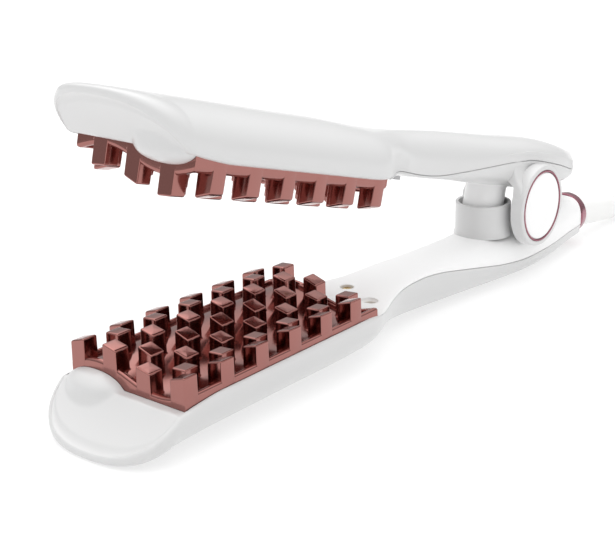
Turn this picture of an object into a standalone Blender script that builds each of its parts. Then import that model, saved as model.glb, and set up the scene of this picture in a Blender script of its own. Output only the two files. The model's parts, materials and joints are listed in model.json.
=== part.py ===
"""Hair crimper: two hinged arms with pegged plates, a return spring, a swivelling cord sleeve and its cord.

Both arms are drawn in the "arm frame", in millimetres: +X runs from the lips to the cord, +Z up, and
z = 0 is the edge of the lower plate. The upper arm is the same shape turned half round about X, then
opened about the hinge. ROOT tilts the pair by the small angle at which it lies on its two lowest points.
"""

import math

import bmesh
import bpy
import numpy as np
from mathutils import Matrix, Vector

# ---- driving dimensions, mm and degrees ----
ROW = 6.0  # spacing of the peg rows across the plate
STEP = 6.68  # half the spacing of the pegs along a row
ROWS = 7
PEG = 2.28  # half side of a peg at its foot
PEG_TOP = 2.14
BAR, BAR_TOP = 2.0, 2.4  # width and height of the rim bars between the edge pegs
PLATE_HALF = 20.6
PLATE_X = (-2.33, 76.8)
WAVE = 2.17  # height of the plate's S-shaped cross-section
FLOOR = 1.2  # plate floor above its edge
TIP = 7.47  # peg tips above the edge
PARALLEL_GAP = 11.47  # edge to edge when the plates are parallel
OPEN = 15.5
TILT = -1.49
HINGE = (179.0, 8.2)  # x, z
BOSS_R, BOSS_IN, BOSS_OUT = 14.2, 12.3, 16.8  # the round cheek on the near side
CHEEK_R = 3.4  # the slim one on the far side
RING_R = (11.85, 12.45)
CAP_R = 11.7
CUP_X, CUP_R, CUP_BORE, CUP_TOP, CUP_FLOOR = 167.2, 9.6, 8.4, 10.1, -8.0
PLUNGER_X, PLUNGER_R, PLUNGER_BORE = 167.4, 6.95, 6.0
END_X = 225.5
COLLAR_X = (225.8, 231.0)
AXIS_Z = -8.9  # height of the collar's centre
SWIVEL, SLEEVE_DIP = (229.0, -8.6), 9.4  # where the sleeve turns, and how steeply it points down
SLEEVE_LONG = 50.6
CORD_R = 3.0
WALL = 1.7
LOWEST = ((-8.0, -14.3), (188.0, -19.4))  # the two places it lies on
MIDDLE = 130.45  # arm-frame x that ends up over the origin

# station tables of the arm: x, then the value there
HALF_W = [(0, 22.0), (68, 22.0), (74, 21.8), (77.3, 21.4), (79.5, 20.5), (84, 18.2), (90, 15.4), (96, 12.9), (102, 11.1),
          (108, 10.4), (116, 10.1), (126, 10.1), (136, 10.6), (150, 11.3), (163, 11.8), (190, 11.9), (200, 11.7),
          (210, 10.9), (218, 9.7), (226, 8.3)]
SEAM_Z = [(0, 0), (72, 0), (77, -0.4), (84, -2.3), (90, -2.8), (96, -2.8), (102, -2.5), (108, -2.2), (115, -2.2),
          (125, -3.1), (135, -4.8), (150, -7.6), (165, -10.3), (180, -11.8), (196, -11.5), (210, -10.6),
          (220, -11.0), (226, -11.4)]
MID_Z = [(0, 0), (72, 0), (77, -0.4), (84, -2.3), (90, -2.8), (96, -2.8), (102, -2.5), (108, -2.2), (115, -2.2),
         (125, -3.1), (135, -4.8), (150, -7.6), (165, -10.3), (180, -11.5), (196, -10.9), (210, -9.8), (226, -8.9)]
LOW_Z = [(0, -14.3), (45, -14.3), (60, -14.6), (75, -14.0), (90, -13.9), (102, -14.3), (115, -15.3), (133, -16.5),
         (150, -17.3), (167, -18.2), (180, -19.2), (190, -19.4), (200, -19.0), (210, -18.1), (218, -17.4),
         (226, -16.7)]
TOP_Z = [(0, -0.8), (90, -0.8), (115, -1.1), (150, -1.2), (165, -0.8), (180, 0.4), (190, 0.6), (200, 0.0),
         (210, -0.6), (226, -1.1)]
UPPER_TOP_Z = [(0, -0.8), (90, -0.8), (115, -1.0), (150, -1.1), (186, -1.2), (200, -3.4), (213, -6.4), (226, -9.4)]
LIP = [(-18.6, 1.5, -12.4, -13.3), (-18.2, 8.0, -11.9, -13.6), (-17.2, 12.8, -11.1, -13.9),
       (-15.5, 16.4, -9.9, -14.07), (-13.0, 19.2, -8.2, -14.15), (-9.5, 21.0, -5.8, -14.25), (-6.0, 21.8, -3.4, -14.3),
       (-3.6, 22.0, -1.7, -14.3), (-2.7, 22.0, -1.6, -14.3)]  # x, half width, top z, bottom z
UPPER_HALF_W = HALF_W[:-3] + [(206, 10.9), (211, 9.5), (216, 7.4), (220, 5.4), (223.5, 3.2), (225.5, 1.4)]  # pointed tail


def clear_scene():
    for obj in list(bpy.data.objects):
        bpy.data.objects.remove(obj, do_unlink=True)


def at(table, x):
    """Smooth value of a station table at x (monotone cubic, so it never overshoots)."""
    xs = np.array([p[0] for p in table], float)
    ys = np.array([p[1] for p in table], float)
    if x <= xs[0]:
        return float(ys[0])
    if x >= xs[-1]:
        return float(ys[-1])
    step = np.diff(xs)
    slope = np.diff(ys) / step
    tangent = np.zeros(len(xs))
    for i in range(1, len(xs) - 1):
        if slope[i - 1] * slope[i] > 0:
            a, b = 2 * step[i] + step[i - 1], step[i] + 2 * step[i - 1]
            tangent[i] = (a + b) / (a / slope[i - 1] + b / slope[i])
    tangent[0], tangent[-1] = slope[0], slope[-1]
    i = int(np.searchsorted(xs, x) - 1)
    t = (x - xs[i]) / step[i]
    return float((2 * t**3 - 3 * t**2 + 1) * ys[i] + (t**3 - 2 * t**2 + t) * step[i] * tangent[i]
                 + (3 * t**2 - 2 * t**3) * ys[i + 1] + (t**3 - t**2) * step[i] * tangent[i + 1])


def half_outline(half, mid, edge, reach, power, count):
    """Points (y, z) from +y to -y round one half of a superellipse that is cut off at height edge."""
    depth = abs(reach - mid)
    sign = 1.0 if reach > mid else -1.0
    cut = max(0.0, min(0.98, sign * (edge - mid) / depth))
    start = math.asin(cut ** (power / 2))
    if sign * (edge - mid) < 0:  # the cut is on the far side of the widest point
        start = 0.0
    points = []
    for phi in np.linspace(start, math.pi - start, count):
        c, s = math.cos(phi), math.sin(phi)
        points.append((half * math.copysign(abs(c) ** (2 / power), c), mid + sign * depth * max(s, 0) ** (2 / power)))
    if sign * (edge - mid) < 0:
        points = [(half, edge)] + points + [(-half, edge)]
    else:
        points = [points[0]] + points + [points[-1]]
    return points


def solid(name, verts, faces, material=None):
    mesh = bpy.data.meshes.new(name)
    mesh.from_pydata([tuple(v) for v in verts], [], [tuple(f) for f in faces])
    work = bmesh.new()
    work.from_mesh(mesh)
    bmesh.ops.remove_doubles(work, verts=work.verts, dist=1e-5)
    bmesh.ops.dissolve_degenerate(work, edges=work.edges, dist=1e-5)
    bmesh.ops.recalc_face_normals(work, faces=work.faces)
    work.to_mesh(mesh)
    work.free()
    if material:
        mesh.materials.append(material)
    obj = bpy.data.objects.new(name, mesh)
    bpy.context.scene.collection.objects.link(obj)
    return obj


def loft(name, sections, material=None):
    """Closed solid through a list of sections, each a list of (x, y, z) with the same count."""
    count = len(sections[0])
    verts = [p for section in sections for p in section]
    faces = []
    for i in range(len(sections) - 1):
        for j in range(count):
            k = (j + 1) % count
            faces.append((i * count + j, i * count + k, (i + 1) * count + k, (i + 1) * count + j))
    faces.append(tuple(range(count)))
    faces.append(tuple((len(sections) - 1) * count + j for j in reversed(range(count))))
    return solid(name, verts, faces, material)


def box(name, x, y, z, material=None):
    ring = [(y[0], z[0]), (y[1], z[0]), (y[1], z[1]), (y[0], z[1])]
    return loft(name, [[(x[0], a, b) for a, b in ring], [(x[1], a, b) for a, b in ring]], material)


def turned(name, profile, centre, axis, material=None, count=32):
    """Solid of revolution: profile is (along the axis, radius), closed on itself or down to the axis."""
    frame = {"X": ((1, 0, 0), (0, 1, 0), (0, 0, 1)), "Y": ((0, 1, 0), (0, 0, 1), (1, 0, 0)),
             "Z": ((0, 0, 1), (1, 0, 0), (0, 1, 0))}[axis]
    along, u, v = (Vector(c) for c in frame)
    verts, faces = [], []
    for k in range(count):
        a = 2 * math.pi * k / count
        for t, r in profile:
            verts.append(tuple(Vector(centre) + along * t + u * (r * math.cos(a)) + v * (r * math.sin(a))))
    n = len(profile)
    for k in range(count):
        m = (k + 1) % count
        for j in range(n):
            i = (j + 1) % n
            if profile[j][1] > 1e-5 or profile[i][1] > 1e-5:
                faces.append((k * n + j, k * n + i, m * n + i, m * n + j))
    return solid(name, verts, faces, material)


def rod(name, centre, axis, span, radius, material=None, count=32):
    """Plain cylinder; the profile's ends lie on the axis."""
    return turned(name, [(span[0], 1e-6), (span[0], radius), (span[1], radius), (span[1], 1e-6)], centre, axis,
                  material, count)


def combine(target, operation, *others):
    """Bakes an exact Boolean of target with each of the others, and removes them."""
    for other in others:
        mod = target.modifiers.new("join", "BOOLEAN")
        mod.operation, mod.solver, mod.object = operation, "EXACT", other
        bpy.context.view_layer.update()
        graph = bpy.context.evaluated_depsgraph_get()
        baked = bpy.data.meshes.new_from_object(target.evaluated_get(graph))
        target.modifiers.clear()
        old, target.data = target.data, baked
        baked.name = target.name
        bpy.data.meshes.remove(old)
        bpy.data.objects.remove(other, do_unlink=True)
    work = bmesh.new()
    work.from_mesh(target.data)
    bmesh.ops.remove_doubles(work, verts=work.verts, dist=2e-4)
    bmesh.ops.dissolve_degenerate(work, edges=work.edges, dist=2e-4)
    work.to_mesh(target.data)
    work.free()
    return target


def paint(name, colour, rough, metal=0.0):
    material = bpy.data.materials.new(name)
    material.use_nodes = True
    shader = material.node_tree.nodes["Principled BSDF"]
    shader.inputs["Base Color"].default_value = (*colour, 1)
    shader.inputs["Roughness"].default_value = rough
    shader.inputs["Metallic"].default_value = metal
    return material


def wave(y):
    return WAVE * math.sin(math.pi * y / PLATE_HALF)


# ---- the arm's pieces, in the arm frame ----

def stations(first, last, tables, extra=()):
    xs = {first, last, *extra}
    for table in tables:
        xs |= {x for x, _ in table if first < x < last}
    xs = sorted(xs)
    return [x for i, x in enumerate(xs) if i == 0 or x - xs[i - 1] > 0.9 or x == last]


def shell(name, material, widths=HALF_W, hollow_to=222.0):
    """Outer half of an arm: lip, hull below the seam, hollow inside."""
    sections = []
    for x, half, top, low in LIP:
        ring = half_outline(half, top, top, low, 2.3, 17)
        sections.append([(x, y, z) for y, z in ring])
    for x in stations(-1.5, END_X, (widths, SEAM_Z, LOW_Z), (4, 12, 24, 36, 52)):
        edge = at(SEAM_Z, x) - (0.15 if x > 74 else 0.0)
        ring = half_outline(at(widths, x), at(MID_Z, x), edge, at(LOW_Z, x), 2.4, 17)
        sections.append([(x, y, z) for y, z in ring])
    body = loft(name, sections, material)
    hollow = []
    for x in stations(0.6, hollow_to, (widths, LOW_Z), (4, 24, 45)):
        inner = at(widths, x) - at([(0, 1.1), (72, 1.1), (84, WALL), (226, WALL)], x)
        if x < PLATE_X[1] + 0.6:
            inner = max(inner, PLATE_HALF + 0.3)
        mid = at(MID_Z, x)
        ring = half_outline(inner, mid, mid, at(LOW_Z, x) + WALL, 2.4, 17)
        lid = mid + 6
        hollow.append([(x, ring[0][0], lid)] + [(x, y, z) for y, z in ring] + [(x, ring[-1][0], lid)])
    combine(body, "DIFFERENCE", loft("hollow", hollow))
    nose = nose_dome()
    combine(body, "DIFFERENCE", box("plate_seat", (-2.63, 0.8), (-20.9, 20.9), (-3.4, 6)))
    return combine(body, "UNION", nose)


def nose_dome():
    """Rounded bump on the lip that closes the end of the plate's crest."""
    verts, faces = [], []
    rings, count = 7, 20
    for i in range(rings):
        lift = math.pi / 2 * i / rings
        for j in range(count + 1):
            a = math.pi / 2 + math.pi * j / count
            verts.append((-3.0 + 6.2 * math.cos(a) * math.cos(lift), 10.9 + 9.6 * math.sin(a) * math.cos(lift),
                          -3.6 + 5.3 * math.sin(lift)))
    top = len(verts)
    verts.append((-3.0, 10.9, 1.7))
    width = count + 1
    for i in range(rings - 1):
        for j in range(count):
            faces.append((i * width + j, i * width + j + 1, (i + 1) * width + j + 1, (i + 1) * width + j))
    for j in range(count):
        faces.append(((rings - 1) * width + j, (rings - 1) * width + j + 1, top))
    low = len(verts)
    for j in range(width):
        verts.append((verts[j][0] * 0.9 - 0.3, verts[j][1], -7.5))
    for j in range(count):
        faces.append((j, low + j, low + j + 1, j + 1))
    faces.append(tuple(low + j for j in range(width)))
    faces.append(tuple([i * width for i in range(rings)] + [top]
                       + [i * width + count for i in reversed(range(rings))] + [low + count, low]))
    return solid("nose", verts, faces)


def cover(name, material, tops, widths=HALF_W, hollow_to=222.0, first=77.4, deep=128.0):
    """Inner half of an arm behind the plate: a lid on the seam, hollow below from x = deep on."""
    sections = []
    for x in stations(first, END_X, (widths, SEAM_Z, tops)):
        edge = at(SEAM_Z, x) + 0.15
        ring = half_outline(at(widths, x), min(at(MID_Z, x), edge), edge, max(at(tops, x), edge + 0.25), 2.4, 17)
        sections.append([(x, y, z) for y, z in ring])
    body = loft(name, sections, material)
    hollow = []
    for x in stations(deep, hollow_to, (widths, tops)):
        mid = at(SEAM_Z, x)
        ring = half_outline(at(widths, x) - WALL, mid, mid, at(tops, x) - 1.5, 2.4, 13)
        hollow.append([(x, ring[0][0], mid - 6)] + [(x, y, z) for y, z in ring] + [(x, ring[-1][0], mid - 6)])
    return combine(body, "DIFFERENCE", loft("hollow", hollow))


SCREWS = (("centre", 92.0, 2.0, 3.0), ("near", 86.0, -9.9, 2.2), ("far", 86.0, 9.9, 2.2))


def screw_seats(body, tops):
    """Recessed seats for the three screws behind the plate."""
    for _, x, y, bore in SCREWS:
        top = at(tops, x) - (0.2 if y < 5 and y > -5 else 0.5)
        combine(body, "UNION", rod("seat", (x, y, 0), "Z", (-5.4, top - 0.3), bore + 1.2, count=24))
        combine(body, "DIFFERENCE", rod("bore", (x, y, 0), "Z", (-4.2, 3), bore, count=24))
        combine(body, "DIFFERENCE", rod("shank", (x, y, 0), "Z", (-8, 3), 1.35, count=16))
    return body


def plate(name, material, first_even):
    """Wave-shaped plate with staggered square pegs, and rim bars between the pegs along all four edges."""
    ys = np.linspace(-PLATE_HALF, PLATE_HALF, 25)
    ring = [(y, FLOOR + wave(y)) for y in ys] + [(y, -0.9 + wave(y)) for y in reversed(ys)]
    body = loft(name, [[(x, y, z) for y, z in ring] for x in PLATE_X], material)
    for side in (-1, 1):
        y = sorted((side * PLATE_HALF, side * (PLATE_HALF - BAR)))
        combine(body, "UNION", box("bar", PLATE_X, y, (-0.7, BAR_TOP)))
    ys = np.linspace(-PLATE_HALF, PLATE_HALF, 19)
    for x in ((PLATE_X[0], PLATE_X[0] + BAR), (PLATE_X[1] - BAR, PLATE_X[1])):
        rows = [[(x[0], y, wave(y)), (x[1], y, wave(y)), (x[1], y, wave(y) + BAR_TOP), (x[0], y, wave(y) + BAR_TOP)]
                for y in ys]
        combine(body, "UNION", loft("bar", rows))
    for row in range(ROWS):
        y = (row - 3) * ROW
        verts, faces = [], []
        for k in range(6):
            s = 2 * k + (first_even + row) % 2
            x = s * STEP
            base = len(verts)
            for half, rise in ((PEG, None), (PEG_TOP + 0.02, TIP - 0.35), (PEG_TOP - 0.32, TIP)):
                for dx, dy in ((-1, -1), (1, -1), (1, 1), (-1, 1)):
                    py = y + dy * half
                    if abs(y) + half > 3 * ROW and dy * y > 0:  # the edge rows reach the plate's side
                        py = math.copysign(PLATE_HALF - (PEG - half), y)
                    low = wave(y) + FLOOR - 1.9 if rise is None else rise + wave(py)
                    verts.append((x + dx * half, py, low))
            for r in (0, 4):
                for c in range(4):
                    d = (c + 1) % 4
                    faces.append((base + r + c, base + r + d, base + r + 4 + d, base + r + 4 + c))
            faces.append(tuple(base + c for c in (3, 2, 1, 0)))
            faces.append(tuple(base + 8 + c for c in range(4)))
        combine(body, "UNION", solid("pegs", verts, faces))
    return body


def flipped(obj):
    """Turns a piece drawn for the lower arm into its twin on the upper arm."""
    obj.data.transform(Matrix.Translation((0, 0, PARALLEL_GAP)) @ Matrix.Rotation(math.pi, 4, "X"))
    return obj


def lower_cover(material):
    body = screw_seats(cover("lower_cover", material, TOP_Z), TOP_Z)
    combine(body, "UNION", rod("cup", (CUP_X, 0, 0), "Z", (CUP_FLOOR - 1.4, CUP_TOP), CUP_R, count=48))
    combine(body, "DIFFERENCE", rod("bore", (CUP_X, 0, 0), "Z", (CUP_FLOOR, CUP_TOP + 3), CUP_BORE, count=36))
    for side in (-1, 1):
        lug = rod("lug", (HINGE[0], side * 10.0, HINGE[1]), "Y", (-1.8, 1.8), 4.0, count=32)
        web = box("web", (HINGE[0] - 3.6, HINGE[0] + 3.6), (side * 10 - 1.55, side * 10 + 1.55), (-8.7, HINGE[1] + 0.4))
        combine(body, "UNION", web, lug)
        combine(body, "DIFFERENCE", rod("bore", (HINGE[0], side * 10, HINGE[1]), "Y", (-3, 3), 1.95, count=24))
    return body


def upper_cover(material):
    """Drawn as closed: lid, plunger, hinge cheeks and the switch slot."""
    body = flipped(screw_seats(cover("upper_cover", material, UPPER_TOP_Z, UPPER_HALF_W, 210.0), UPPER_TOP_Z))
    under = PARALLEL_GAP - at(UPPER_TOP_Z, PLUNGER_X)
    combine(body, "UNION", turned("plunger", [(under + 1.2, 1e-6), (under + 1.2, 7.3), (under - 1.5, 7.2),
                                              (1.0, PLUNGER_R), (1.0, 1e-6)], (PLUNGER_X, 0, 0), "Z", count=32))
    combine(body, "DIFFERENCE", rod("bore", (PLUNGER_X, 0, 0), "Z", (-3.0, under + 0.1), PLUNGER_BORE, count=32))
    strap = loft("strap", [[(x, -y, z) for y, z in
                            ((9.0, 13.1), (15.3, 13.1), (14.0, 18.0), (11.4, 21.6), (9.0, 21.6))]
                           for x in (166.0, 190.5)])
    disc = turned("disc", [(-BOSS_IN, 1e-6), (-BOSS_IN, BOSS_R), (-15.6, BOSS_R), (-16.5, BOSS_R - 0.3),
                           (-BOSS_OUT, BOSS_R - 1.1), (-BOSS_OUT, 1e-6)], (HINGE[0], 0, HINGE[1]), "Y", count=48)
    combine(body, "UNION", strap, disc)
    combine(body, "DIFFERENCE", rod("seat", (HINGE[0], 0, HINGE[1]), "Y", (-20.0, -15.5), RING_R[1] + 0.15, count=48))
    web = loft("web", [[(x, y, z) for x, z in ((176.2, 8.0), (181.8, 8.0), (188, 15.5), (188, 21.0), (177, 21.0),
                                               (175.4, 15.5))] for y in (12.1, 13.5)])
    foot = box("foot", (177.3, 187.7), (7.6, 13.3), (15.2, 20.7))
    cheek = rod("cheek", (HINGE[0], 0, HINGE[1]), "Y", (12.15, 14.0), CHEEK_R, count=36)
    combine(body, "UNION", foot, web, cheek)
    for y in ((-14.6, -8.0), (8.0, 13.45)):
        combine(body, "DIFFERENCE", rod("bore", (HINGE[0], 0, HINGE[1]), "Y", y, 2.0, count=24))
    return combine(body, "DIFFERENCE", box("slot", (104.8, 117.4), (-2.6, 2.6), (9, 16)))


def spring(name, material):
    """Compression spring standing in the cup: one closed tube along a helix."""
    turns, radius, wire, low, high = 6.5, 3.8, 0.4, CUP_FLOOR + 0.5, 14.6
    count, around = 104, 6
    verts, faces = [], []
    for i in range(count):
        t = i / (count - 1)
        a = 2 * math.pi * turns * t
        centre = Vector((CUP_X + radius * math.cos(a), radius * math.sin(a), low + (high - low) * t))
        out = Vector((math.cos(a), math.sin(a), 0))
        for j in range(around):
            b = 2 * math.pi * j / around
            verts.append(tuple(centre + out * (wire * math.cos(b)) + Vector((0, 0, wire * math.sin(b)))))
    for i in range(count - 1):
        for j in range(around):
            k = (j + 1) % around
            faces.append((i * around + j, i * around + k, (i + 1) * around + k, (i + 1) * around + j))
    faces.append(tuple(range(around)))
    faces.append(tuple((count - 1) * around + j for j in reversed(range(around))))
    return solid(name, verts, faces, material)


def screw(name, x, y, bore, tops, material):
    """Pan-head screw in its recess: head down on the seat, shank through it."""
    head = min(bore - 0.25, 2.1)
    profile = [(-2.6, 1e-6), (-2.7, head * 0.7), (-3.1, head), (-4.15, head), (-4.15, 1.1), (-8.6, 1.1), (-8.9, 1e-6)]
    return turned(name, profile, (x, y, 0), "Z", material, count=14)


def sleeve(name, material):
    """Swivelling cord sleeve, along its own axis: flange and neck inside the collar, taper, soft rings."""
    profile = [(-1.9, 1e-6), (-1.9, 5.2), (-1.2, 5.9), (-0.4, 5.9), (-0.4, 4.7), (2.7, 4.7), (3.5, 5.3), (5.2, 5.9),
               (7.5, 6.05)]
    x = 34.3
    while x < SLEEVE_LONG - 3:
        r = 6.05 - 0.0285 * (x - 7.5)
        profile += [(x, r), (x, r - 0.8), (x + 1.2, r - 0.8), (x + 1.2, r - 0.04)]
        x += 7.0
    profile += [(SLEEVE_LONG, 4.75), (SLEEVE_LONG, 1e-6)]
    return turned(name, profile, (0, 0, 0), "X", material, count=20)


# ---- placing ----

def to_world(x, z):
    """Arm-frame (x, z) to world, mm."""
    a = math.radians(TILT)
    x0, z0 = x - LOWEST[0][0], z - LOWEST[0][1]
    return (math.cos(a) * x0 + math.sin(a) * z0 + LOWEST[0][0] - MIDDLE, -math.sin(a) * x0 + math.cos(a) * z0)


def empty(name, location, tilt, parent=None):
    obj = bpy.data.objects.new(name, None)
    bpy.context.scene.collection.objects.link(obj)
    obj.location, obj.rotation_euler = location, (0, math.radians(tilt), 0)
    obj.parent = parent
    return obj


def seat_in(obj, parent, origin):
    """Puts a mesh drawn in arm-frame millimetres under parent, with its own origin there, in metres."""
    obj.data.transform(Matrix.Scale(0.001, 4) @ Matrix.Translation((-origin[0], 0, -origin[1])))
    obj.parent = parent
    return obj


def tube(name, points, radius, material):
    curve = bpy.data.curves.new(name, "CURVE")
    curve.dimensions, curve.bevel_depth, curve.bevel_resolution = "3D", radius / 1000, 3
    curve.use_fill_caps = True
    curve.render_resolution_u = 0
    spline = curve.splines.new("POLY")
    spline.points.add(len(points) - 1)
    for point, (x, y, z) in zip(spline.points, points):
        point.co = (x / 1000, y / 1000, z / 1000, 1)
    curve.materials.append(material)
    obj = bpy.data.objects.new(name, curve)
    bpy.context.scene.collection.objects.link(obj)
    return obj


def eased(points, count):
    """Catmull-Rom curve through the points."""
    pts = [Vector(p) for p in points]
    pts = [2 * pts[0] - pts[1]] + pts + [2 * pts[-1] - pts[-2]]
    out = []
    for i in range(count):
        t = i / (count - 1) * (len(pts) - 3)
        k = min(int(t), len(pts) - 4)
        t -= k
        a, b, c, d = pts[k:k + 4]
        out.append(tuple(0.5 * ((2 * b) + (c - a) * t + (2 * a - 5 * b + 4 * c - d) * t**2
                                + (3 * b - a - 3 * c + d) * t**3)))
    return out


HANK_X = (183.16, 346.16)
HANK_ENDS, HANK_WAIST = (21.4, 0.02, 31.4), (6.7, 1.9, 33.3)  # half width, bottom, top: at its ends, under the tie
TIE_HALF = 4.0
LEAVE_Y, LEAVE_Z = -18.0, 27.7  # where the cord leaves the hank
PLUG_Y, PLUG_Z = -4.0, 7.9


def superellipse(wide, low, top, power=6.0, count=24):
    ring = []
    for k in range(count):
        c, s = math.cos(2 * math.pi * (k + 0.5) / count), math.sin(2 * math.pi * (k + 0.5) / count)
        ring.append((wide * math.copysign(abs(c) ** (2 / power), c),
                     (low + top) / 2 + (top - low) / 2 * math.copysign(abs(s) ** (2 / power), s)))
    return ring


def cord_pieces(white, band, pin_metal):
    """Cord from the sleeve to a tied hank on the floor, and its plug."""
    a = math.radians(SLEEVE_DIP)
    ex, ez = to_world(SWIVEL[0] + (SLEEVE_LONG + 0.4) * math.cos(a), SWIVEL[1] - (SLEEVE_LONG + 0.4) * math.sin(a))
    low = CORD_R + 0.05
    x0, x1 = HANK_X
    tube("cord", eased([(ex, 0, ez), (ex + 8, -0.3, ez - 1.0), (ex + 16, -1.9, low + 0.2), (ex + 24, -4.9, low),
                        (x0 - 1.6, -8.4, low)], 12), CORD_R, white)
    mid = (x0 + x1) / 2
    sections = []
    for x in (x0, x0 + 1.5, x0 + 5, mid - 57, mid - 48, mid - 39, mid - 30, mid - 21, mid - 13, mid - 5,
              mid + 5, mid + 13, mid + 21, mid + 30, mid + 39, mid + 48, mid + 57, x1 - 5, x1 - 1.5, x1):
        u = min(1.0, max(0.0, (abs(x - mid) - 5) / 52))
        ease = (1 - math.cos(math.pi * u)) / 2
        wide, bottom, top = (w + (e - w) * ease for w, e in zip(HANK_WAIST, HANK_ENDS))
        short = {x0: 1.2, x0 + 1.5: 0.3, x1 - 1.5: 0.3, x1: 1.2}.get(x, 0.0)
        sections.append([(x, y, z) for y, z in superellipse(wide - short, bottom, top - short / 3)])
    hank = loft("cord_hank", sections, white)
    hank.data.transform(Matrix.Scale(0.001, 4))
    wide, bottom, top = HANK_WAIST
    verts, faces = [], []
    for x in (mid - TIE_HALF, mid + TIE_HALF):
        for grow in (0.4, 1.5):
            verts += [(x, y, z) for y, z in superellipse(wide + grow, bottom - grow, top + grow)]
    n = 24
    for j in range(n):
        k = (j + 1) % n
        faces += [(j, k, 2 * n + k, 2 * n + j), (n + j, 3 * n + j, 3 * n + k, n + k),
                  (j, n + j, n + k, k), (2 * n + j, 2 * n + k, 3 * n + k, 3 * n + j)]
    tie = solid("hank_tie", verts, faces, band)
    tie.data.transform(Matrix.Scale(0.001, 4))
    tube("cord_tail", eased([(x1 + 0.4, LEAVE_Y, LEAVE_Z), (x1 + 14, -16.4, 25.6), (x1 + 28, -11.2, 18.0),
                             (x1 + 42, -5.6, 10.2), (x1 + 56, PLUG_Y, PLUG_Z)], 14), CORD_R, white)
    px = x1 + 56.4
    body = loft("plug_body", [[(px + dx, PLUG_Y + y * w, PLUG_Z + z * h) for y, z in
                               [(math.copysign(abs(math.cos(a)) ** 0.7, math.cos(a)),
                                 math.copysign(abs(math.sin(a)) ** 0.7, math.sin(a)))
                                for a in np.linspace(0, 2 * math.pi, 29)[:-1]]]
                              for dx, w, h in ((0, 4.6, 4.4), (4, 5.4, 5.0), (16, 8.0, 6.6), (22, 14.0, 7.6),
                                               (28, 17.0, 7.0), (42, 17.4, 6.8), (44, 16.8, 6.2))], white)
    body.data.transform(Matrix.Scale(0.001, 4))
    for tag, y in (("a", PLUG_Y - 9.5), ("b", PLUG_Y + 9.5)):
        pin = turned(f"plug_pin_{tag}", [(44.3, 1e-6), (44.3, 2.0), (62.0, 2.0), (63.0, 1.2), (63.0, 1e-6)],
                     (px, y, PLUG_Z), "X", pin_metal, count=16)
        pin.data.transform(Matrix.Scale(0.001, 4))


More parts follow.
